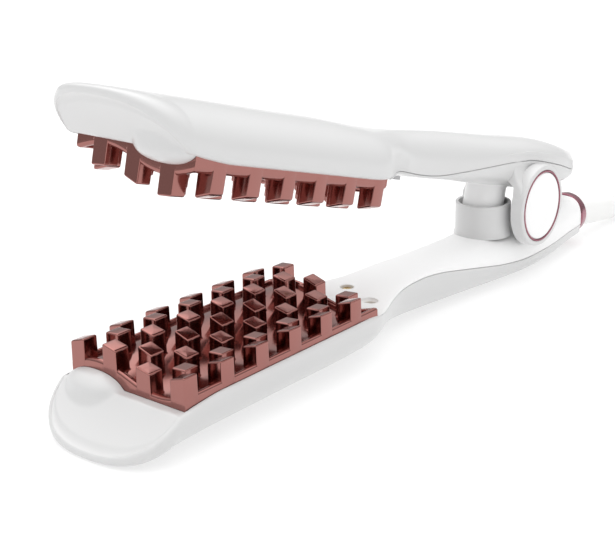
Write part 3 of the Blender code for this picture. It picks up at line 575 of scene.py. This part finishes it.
def boss(name, place):
    """Near hinge cheek: a thick disc with a rounded rim, whose side runs straight up into the upper cover."""
    profile = round_profile([(12.3, 0.0), (12.3, 14.2), (16.8, 14.2), (16.8, 12.55), (15.6, 12.55),
                             (15.6, 0.0)], [0.3, 0.75, 0.15, 0.1], 6)
    disc = lathe([(-t, r) for t, r in profile], (HINGE[0], 0, HINGE[1]), "Y", 160)
    rows = []
    for k in range(25):
        t = k / 24
        z = 9.0 + 13.2 * t
        outer = 16.6 - 4.9 * t * t * (3 - 2 * t)
        inner = 12.35 - 3.6 * min(1.0, max(0.0, (z - 13.2) / 2.5))
        wide = 14.0 + 2.0 * t
        rows.append([(HINGE[0] - wide * sup(math.cos(a), 9.0),
                      -(inner + (outer - inner) * sup(math.sin(a), 9.0)), z)
                     for a in np.linspace(0, math.pi, 41)])
    root_verts, root_faces = lattice(rows, across=True)
    root_faces += [tuple(range(41)), tuple(24 * 41 + j for j in range(41))]
    verts, faces = joined(disc, (root_verts, root_faces))
    return link(name, verts, faces, place, WHITE, sharp=45)


def slim_cheek(name, place):
    """Far hinge cheek: a small eye on a narrow web that runs up into the upper cover."""
    eye = lathe(round_profile([(12.15, 0.0), (12.15, 3.4), (13.95, 3.4), (13.95, 0.0)], 0.35),
                (HINGE[0], 0, HINGE[1]), "Y", 64)
    outline = round_profile([(176.2, 8.2), (175.6, 14.0), (177.0, 21.0), (188.0, 21.0), (187.6, 15.0),
                             (181.8, 8.2)], 1.2)
    rows = [[(x, y, z) for x, z in outline] for y in (12.2, 13.2, 13.4)]
    rows[2] = [(x * 0.995 + 0.9, y, z * 0.99 + 0.15) for x, y, z in rows[2]]
    verts, faces = lattice(rows, across=True)
    n = len(outline)
    faces += [tuple(range(n)), tuple(2 * n + j for j in range(n))]
    foot = [[(x, y, z) for x, z in ((178, 15.6), (187, 15.6), (187, 20.4), (178, 20.4))] for y in (7.8, 13.0)]
    foot_verts, foot_faces = lattice(foot, across=True)
    foot_faces += [(0, 1, 2, 3), (4, 5, 6, 7)]
    verts, faces = joined(eye, (verts, faces), (foot_verts, foot_faces))
    return link(name, verts, faces, place, WHITE, sharp=40)


def ring_and_cap(place):
    """Rose-gold ring and glossy cap set in the near cheek's face."""
    t0, t1 = 15.7, 16.95
    centre = (HINGE[0], 0, HINGE[1])
    band = round_profile([(t0, 11.85), (t1, 11.85), (t1, 12.45), (t0, 12.45)], 0.22, 4)
    verts, faces = lathe([(-t, r) for t, r in band], centre, "Y", 160)
    ring = link("hub_ring_look", verts, faces, place, TRIM, sharp=50)
    cap = round_profile([(t0, 11.75), (16.75, 11.7), (17.15, 9.5), (17.4, 0.0)], [0.35, 2.0], 6)
    verts, faces = lathe([(-t, r) for t, r in cap], centre, "Y", 160)
    return ring, link("hub_cap_look", verts, faces, place, CAP, sharp=50)


def lugs(name, place):
    """Two lugs on the lower cover that carry the pivot pins."""
    parts = []
    for side in (-1, 1):
        rows = []
        outline = [(HINGE[0] + 4.0 * math.cos(a), HINGE[1] + 4.0 * math.sin(a))
                   for a in np.linspace(0, math.pi, 25)]
        outline = [(HINGE[0] + 4.6, -4.0)] + outline + [(HINGE[0] - 4.6, -4.0)]
        for y, inset in ((8.25, 0.25), (8.5, 0.0), (11.55, 0.0), (11.8, 0.25)):
            rows.append([(HINGE[0] + (x - HINGE[0]) * (1 - inset / 4), side * y,
                          HINGE[1] + (z - HINGE[1]) * (1 - inset / 4 if z > HINGE[1] else 1))
                         for x, z in outline])
        verts, faces = lattice(rows, across=True)
        n = len(outline)
        faces += [tuple(range(n)), tuple(3 * n + j for j in range(n))]
        parts.append((verts, faces))
    verts, faces = joined(*parts)
    return link(name, verts, faces, place, WHITE, sharp=35)


def spring(name, place):
    """The return spring, from the cup's floor up into the plunger."""
    rows, turns = [], 7.0
    low, high, radius, wire = SPRING_LOW, 14.4, 3.8, 0.42
    count = 420
    for i in range(count + 1):
        t = i / count
        a = 2 * math.pi * turns * t
        ease = low + (high - low) * min(1, max(0, (t - 0.03) / 0.94))
        centre = Vector((SPRING_X + radius * math.cos(a), radius * math.sin(a), ease))
        out = Vector((math.cos(a), math.sin(a), 0))
        rows.append([tuple(centre + out * (wire * math.cos(b)) + Vector((0, 0, wire * math.sin(b))))
                     for b in np.linspace(0, 2 * math.pi, 13)[:-1]])
    verts, faces = lattice(rows, across=True)
    faces += [tuple(range(12)), tuple(count * 12 + j for j in range(12))]
    return link(name, verts, faces, place, STEEL)


# ---------------------------------------------------------------- collar, sleeve, screws

def collar(name, place):
    """Rose-gold ring at the arm's rear end, with the hole the sleeve turns in."""
    profile = round_profile([(225.6, 6.5), (225.6, 8.3), (226.4, 8.45), (230.3, 7.95), (231.0, 7.3),
                             (231.0, 5.6), (230.0, 5.6)], [0.2, 0.5, 0.7, 0.3, 0.2])
    verts, faces = lathe(profile, (0, 0, AXIS_Z), "X", 128)
    return link(name, verts, faces, place, TRIM, sharp=50)


FIRST_GROOVE, GROOVE_STEP, GROOVE_WIDE = 34.3, 7.0, 1.2


def sleeve(name, place):
    """Swivelling sleeve along its own axis: a smooth taper, then soft rings with slots between them."""
    def radius(t):
        return 6.05 - 0.0285 * (t - 7.5)

    profile = [(-1.9, 0.0), (-1.9, 5.2), (-0.4, 5.5), (-0.4, 4.7), (2.4, 4.7), (3.2, 5.5), (5.2, 5.95),
               (7.5, 6.05)]
    t = FIRST_GROOVE
    while t < SLEEVE_LONG - 3:
        r = radius(t)
        profile += [(t, r), (t + 0.1, r - 0.55), (t + GROOVE_WIDE - 0.1, r - 0.55), (t + GROOVE_WIDE, r)]
        t += GROOVE_STEP
    end = radius(SLEEVE_LONG) - 0.1
    profile += [(SLEEVE_LONG, end), (SLEEVE_LONG, 0.0)]
    profile = round_profile(profile, 0.3)
    rows = []
    for k in range(128):
        a = 2 * math.pi * k / 128
        slot = max(0.0, 1 - (abs(math.cos(a)) / 0.42) ** 6)
        row = []
        for t, r in profile:
            deep = slot * 0.75 if r < radius(t) - 0.4 and FIRST_GROOVE < t < SLEEVE_LONG - 0.6 else 0.0
            row.append((t, (r - deep) * math.cos(a), (r - deep) * math.sin(a)))
        rows.append(row)
    verts, faces = lattice(rows, along=True)
    return link(name, verts, faces, place, SATIN, sharp=60)


def screw(name, x, y, seat, place, radius=2.0):
    """Pan-head screw with a cross recess."""
    profile = round_profile([(seat, 0.0), (seat, radius), (seat + 0.5, radius), (seat + 1.15, radius * 0.55),
                             (seat + 1.2, 0.0)], [0.05, 0.35, 0.5], 5)
    verts, faces = lathe(profile, (x, y, 0), "Z", 48)
    head = link(name, verts, faces, None, BRASS, sharp=50)
    for turn in (0.4, 0.4 + math.pi / 2):
        u, v = Vector((math.cos(turn), math.sin(turn), 0)), Vector((-math.sin(turn), math.cos(turn), 0))
        corners = []
        for z, grow in ((seat + 0.35, 0.45), (seat + 2.0, 1.0)):
            for s, t in ((-1, -1), (1, -1), (1, 1), (-1, 1)):
                corners.append(Vector((x, y, z)) + u * (s * radius * 0.58 * grow)
                               + v * (t * radius * 0.13 * grow))
        cutter = link("cutter", corners, [(0, 1, 2, 3), (4, 5, 6, 7), (0, 1, 5, 4), (1, 2, 6, 5),
                                          (2, 3, 7, 6), (3, 0, 4, 7)], None, BRASS, smooth=False)
        trim(head, cutter)
    shade(head, 35)
    head.data.transform(place)
    return head


# ---------------------------------------------------------------- cord, hank and plug, row frame, mm

CORD_R, CORD_LONG = 3.0, 1.7  # radius in mm, whole length in m
HANK_X = (183.16, 346.16)
FRONT_FOLD, FAR_FOLD, FOLD_R = 204.66, 324.66, 18.0  # where the folds at the two ends begin, and their radius
LAYER, LAYERS = 6.15, 5  # the loops lie on each other
WAIST_Y, LIFT = 3.12, 1.95  # how far the runs draw in under the tie, and how far they rise over it
PLUG_AT = (HANK_X[1] + 56.4, -4.0, 7.9)


def eased(points, count):
    """Catmull-Rom curve through the points."""
    pts = [Vector(p) for p in points]
    pts = [2 * pts[0] - pts[1]] + pts + [2 * pts[-1] - pts[-2]]
    out = []
    for i in range(count):
        t = i / (count - 1) * (len(pts) - 3)
        k = min(int(t), len(pts) - 4)
        t -= k
        a, b, c, d = pts[k:k + 4]
        out.append(tuple(0.5 * ((2 * b) + (c - a) * t + (2 * a - 5 * b + 4 * c - d) * t**2
                                + (3 * b - a - 3 * c + d) * t**3)))
    return out


def spread_at(x):
    """0 under the tie, 1 where the runs lie at their full width."""
    u = min(1.0, max(0.0, (abs(x - sum(HANK_X) / 2) - 5) / 52))
    return (1 - math.cos(math.pi * u)) / 2


def layer_z(layer):
    return CORD_R + 0.1 + LAYER * layer


def hank_run(x0, x1, side, layer):
    """One run of the hank, drawn in to the tie at its middle."""
    points = []
    for x in np.linspace(x0, x1, 37):
        out = spread_at(x)
        points.append((x, side * (WAIST_Y + (FOLD_R - WAIST_Y) * out), layer_z(layer) + LIFT * (1 - out)))
    return points


def far_fold(layer):
    return [(FAR_FOLD + FOLD_R * math.sin(a), -FOLD_R * math.cos(a), layer_z(layer))
            for a in np.linspace(0, math.pi, 25)[1:-1]]


def front_fold(layer):
    """Half turn at the front, which climbs to the next layer in its first part."""
    points = []
    for a in np.linspace(0, math.pi, 25)[1:-1]:
        t = min(1.0, a / (0.45 * math.pi))
        points.append((FRONT_FOLD - FOLD_R * math.sin(a), FOLD_R * math.cos(a),
                       layer_z(layer) + LAYER * t * t * (3 - 2 * t)))
    return points


def cord_route():
    """From the sleeve down to the floor, through the layers of the hank, and on to the plug."""
    start = [c * 1000 for c in SLEEVE @ Vector((SLEEVE_LONG - 0.4, 0, 0))]
    ex, ez, low = start[0] + 0.8, start[2] - 0.1, CORD_R + 0.05
    route = eased([start, (ex + 8, -0.3, ez - 1.0), (ex + 16, -1.9, low + 0.2), (ex + 24, -4.9, low),
                   (HANK_X[0] - 1.6, -8.4, low), (ex + 42, -13.2, low), (ex + 50, -16.8, low)], 40)
    for layer in range(LAYERS):
        route += hank_run(FRONT_FOLD if layer else FRONT_FOLD + 2, FAR_FOLD, -1, layer)
        if layer < LAYERS - 1:
            route += far_fold(layer) + hank_run(FAR_FOLD, FRONT_FOLD, 1, layer) + front_fold(layer)
    x1 = HANK_X[1]
    route += eased([(FAR_FOLD + 7, -18.0, 27.7), (x1 + 0.4, -18.0, 27.7), (x1 + 14, -16.4, 25.6),
                    (x1 + 28, -11.2, 18.0), (x1 + 42, -5.6, 10.2), (x1 + 56.3, -4.0, 7.9)], 40)
    return route


def cord(name):
    curve = bpy.data.curves.new(name, "CURVE")
    curve.dimensions, curve.bevel_depth, curve.bevel_resolution = "3D", CORD_R / 1000, 5
    curve.use_fill_caps = True
    route = cord_route()
    spline = curve.splines.new("POLY")
    spline.points.add(len(route) - 1)
    for point, (x, y, z) in zip(spline.points, route):
        point.co = (x / 1000, y / 1000, z / 1000, 1)
    spline.use_smooth = True
    curve.materials.append(CABLE)
    obj = bpy.data.objects.new(name, curve)
    bpy.context.scene.collection.objects.link(obj)
    return obj


MM = Matrix.Scale(0.001, 4)


def tie(name):
    """Coated band round the waist of the hank, with rounded edges."""
    mid = sum(HANK_X) / 2
    half, low, top = WAIST_Y + CORD_R, layer_z(0) + LIFT - CORD_R, layer_z(LAYERS - 1) + LIFT + CORD_R
    rows = []
    for x, grow in ((-3.9, 0.15), (-3.95, 0.9), (-3.5, 1.3), (3.5, 1.3), (3.95, 0.9), (3.9, 0.15)):
        rows.append([(mid + x, (half + grow) * sup(math.cos(a), 5),
                      (low + top) / 2 + ((top - low) / 2 + grow) * sup(math.sin(a), 5))
                     for a in np.linspace(0, 2 * math.pi, 97)[:-1]])
    verts, faces = lattice(rows, across=True, along=True)
    return link(name, verts, faces, MM, BAND, sharp=60)


def plug(name):
    """Two-pin plug: a soft neck that swells into a flat grip with a rounded front edge."""
    px, py, pz = PLUG_AT
    wide = Table([(0, 4.4), (4, 5.2), (10, 6.0), (16, 8.0), (22, 13.4), (28, 16.8), (36, 17.3), (42, 17.3)],
                 1.2)
    high = Table([(0, 4.2), (4, 4.8), (10, 5.5), (16, 6.5), (22, 7.4), (28, 7.0), (42, 6.8)], 1.2)
    stations = [(x, 1.0) for x in np.linspace(0.3, 42.5, 60)] + [(43.4, 0.985), (43.9, 0.955)]
    rows = [[(px + x, py + wide(x) * s * sup(math.cos(a), 2.86), pz + high(x) * s * sup(math.sin(a), 2.86))
             for a in np.linspace(0, 2 * math.pi, 97)[:-1]] for x, s in stations]
    verts, faces = lattice(rows, across=True)
    faces += [tuple(range(96)), tuple((len(rows) - 1) * 96 + j for j in range(96))]
    return link(name, verts, faces, MM, CABLE, sharp=40)


def plug_pin(name, y):
    px, _, pz = PLUG_AT
    profile = round_profile([(43.7, 0.0), (43.7, 1.9), (52.5, 1.9), (52.6, 2.0), (62.9, 2.0), (62.9, 0.0)],
                            [0.05, 0.02, 0.02, 1.4], 6)
    verts, faces = lathe(profile, (px, y, pz), "X", 48)
    return link(name, verts, faces, MM, PINS, sharp=50)


def lay_cord():
    line = add(cord("cord_look"), "lower_arm", "cord_white", "cord", "cord_hank", "cord_tail")
    pieces = [add(tie("hank_tie_look"), "lower_arm", "tie_band", "hank_tie"),
              add(plug("plug_look"), "lower_arm", "cord_white", "plug_body")]
    for tag, y in (("a", PLUG_AT[1] - 9.5), ("b", PLUG_AT[1] + 9.5)):
        pieces.append(add(plug_pin(f"plug_pin_{tag}_look", y), "lower_arm", "plug_pins", f"plug_pin_{tag}"))


def slider(name, place):
    """Power slider in its slot: a rounded knob with grip ridges across it."""
    rows = []
    for k in range(41):
        t = k / 40
        x = SWITCH_X + SWITCH_LONG * t
        round_off = 1 - abs(2 * t - 1) ** 10
        ridge = 0.18 * math.cos(2 * math.pi * 5 * t)
        bottom = 11.1 + 0.25 * (1 - round_off) + max(0.0, ridge)
        rows.append([(x, (2.05 + 0.2 * round_off) * sup(math.cos(a), 6), (bottom + 15.3) / 2
                      + (15.3 - bottom) / 2 * sup(math.sin(a), 8))
                     for a in np.linspace(0, 2 * math.pi, 33)[:-1]])
    verts, faces = lattice(rows, across=True)
    faces += [tuple(range(32)), tuple(40 * 32 + j for j in range(32))]
    return link(name, verts, faces, place, GREY, sharp=50)


# ---------------------------------------------------------------- putting the pieces on their bodies

def add(obj, body, slot, *nodes):
    """Names the body the piece rides on and the CAD nodes it replaces; the slot argument is not used."""
    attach(obj, body)
    if nodes:
        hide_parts(*nodes)
    return obj


def build_arms():
    lower_top, upper_top = Table(TOP_Z), Table(UPPER_TOP_Z)
    add(shell("lower_shell_look", LOWER, half_w), "lower_arm", "white_plastic", "lower_shell")
    # Painted light: the lower cover gets the lighter copy of the white plastic, standing in for light in the
    # upper arm's shade.
    add(cover("lower_cover_look", LOWER, lower_top, half_w, PAINTED_LIT_WHITE), "lower_arm", "white_plastic",
        "lower_cover")
    add(plate("lower_plate_look", LOWER, 0), "lower_arm", "rose_gold", "lower_plate")
    add(cup("cup_look", LOWER), "lower_arm", "white_plastic")
    add(lugs("lugs_look", LOWER), "lower_arm", "white_plastic")
    coil = add(spring("return_spring_look", LOWER), "lower_arm", "spring_steel", "return_spring")
    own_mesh(coil)
    add(collar("rear_collar_look", LOWER), "lower_arm", "rose_trim", "rear_collar")
    add(shell("upper_shell_look", UPPER, upper_half_w), "upper_arm", "white_plastic", "upper_shell")
    add(cover("upper_cover_look", UPPER, upper_top, upper_half_w, WHITE), "upper_arm", "white_plastic",
        "upper_cover")
    add(plate("upper_plate_look", UPPER, 1), "upper_arm", "rose_gold", "upper_plate")
    add(plunger("plunger_look", RAISED), "upper_arm", "white_plastic")
    for tag, (x, y, _, _, depth, rim) in zip(("centre", "near", "far"), RECESSES):
        for body, place in (("lower", LOWER), ("upper", UPPER)):
            add(screw(f"{body}_screw_{tag}_look", x, y, rim - depth - 0.1, place), body + "_arm",
                "screw_brass", f"{body}_screw_{tag}")
    add(boss("boss_near", RAISED), "upper_arm", "white_plastic")
    add(slim_cheek("cheek_far", RAISED), "upper_arm", "white_plastic")
    ring, lid = ring_and_cap(RAISED)
    add(ring, "upper_arm", "rose_trim", "hub_ring_near")
    add(lid, "upper_arm", "gloss_cap", "hub_cap_near")
    add(sleeve("cord_sleeve_look", SLEEVE), "sleeve", "sleeve_white", "cord_sleeve")
    add(slider("power_switch_look", RAISED), "switch", "switch_grey")
    lay_cord()


def paint_cad():
    """Every CAD node gets the material of its slot, whether it shows or not."""
    slots = {s["node"]: s["material_slot"] for s in frame["record"]["subparts"]}
    for name, node in frame["nodes"].items():
        node.data.materials.clear()
        node.data.materials.append(BY_SLOT[slots[name]])


# ---------------------------------------------------------------- studio

SKY = (0.44, 1.82)  # brightness at the horizon, and what is added overhead, with the square of the height
FLOOR_REACH, FLOOR_GLOW = 18, 0.56  # half side of the floor in m, and its own light
CAMERA_AT = (-201.32, -223.50, 130.88)  # in the arm frame, mm
CAMERA_FROM = (-50.87, 17.853)  # azimuth and elevation it looks from, degrees
LENS = 74.53  # mm, on a sensor 36 mm wide


def studio():
    scene = bpy.context.scene
    world = bpy.data.worlds.new("studio")
    scene.world = world
    world.use_nodes = True
    nodes, links = world.node_tree.nodes, world.node_tree.links
    place, split = nodes.new("ShaderNodeTexCoord"), nodes.new("ShaderNodeSeparateXYZ")
    square, sky = nodes.new("ShaderNodeMath"), nodes.new("ShaderNodeMath")
    square.operation, sky.operation = "MULTIPLY", "MULTIPLY_ADD"
    sky.inputs[1].default_value, sky.inputs[2].default_value = SKY[1], SKY[0]
    links.new(place.outputs["Generated"], split.inputs["Vector"])
    links.new(split.outputs["Z"], square.inputs[0])
    links.new(split.outputs["Z"], square.inputs[1])
    links.new(square.outputs["Value"], sky.inputs[0])
    links.new(sky.outputs["Value"], nodes["Background"].inputs["Strength"])
    nodes["Background"].inputs["Color"].default_value = (1, 1, 1, 1)

    mesh = bpy.data.meshes.new("floor")
    mesh.from_pydata([(s * FLOOR_REACH, t * FLOOR_REACH, 0) for s, t in ((-1, -1), (1, -1), (1, 1), (-1, 1))],
                     [], [(0, 1, 2, 3)])
    floor = bpy.data.objects.new("floor", mesh)
    scene.collection.objects.link(floor)
    ground = paint("floor_white", (0.45, 0.45, 0.45), 0.9, grain=0.02)
    glow = ground.node_tree.nodes["Principled BSDF"].inputs
    glow["Emission Color"].default_value = (1, 1, 1, 1)
    glow["Emission Strength"].default_value = FLOOR_GLOW
    mesh.materials.append(ground)

    light = bpy.data.lights.new("behind", "AREA")
    light.shape, light.size, light.size_y, light.energy = "RECTANGLE", 0.9, 0.9, 1.5
    softbox = bpy.data.objects.new("behind", light)
    scene.collection.objects.link(softbox)
    softbox.location = (0.2, 0.6, 0.9)
    softbox.rotation_euler = (Vector((0, 0, 0.03)) - softbox.location).to_track_quat("-Z", "Y").to_euler()

    lens = bpy.data.cameras.new("camera")
    lens.lens, lens.sensor_width, lens.sensor_fit = LENS, 36, "HORIZONTAL"
    lens.clip_start, lens.clip_end = 0.01, 20
    camera = bpy.data.objects.new("camera", lens)
    scene.collection.objects.link(camera)
    camera.location = ROOT @ Vector(CAMERA_AT)
    azimuth, elevation = (math.radians(a) for a in CAMERA_FROM)
    back = Vector((math.sin(azimuth) * math.cos(elevation), -math.cos(azimuth) * math.cos(elevation),
                   math.sin(elevation)))
    camera.rotation_euler = back.to_track_quat("Z", "Y").to_euler()
    scene.camera = camera
    scene.view_settings.view_transform = "Standard"


build_arms()
paint_cad()
studio()
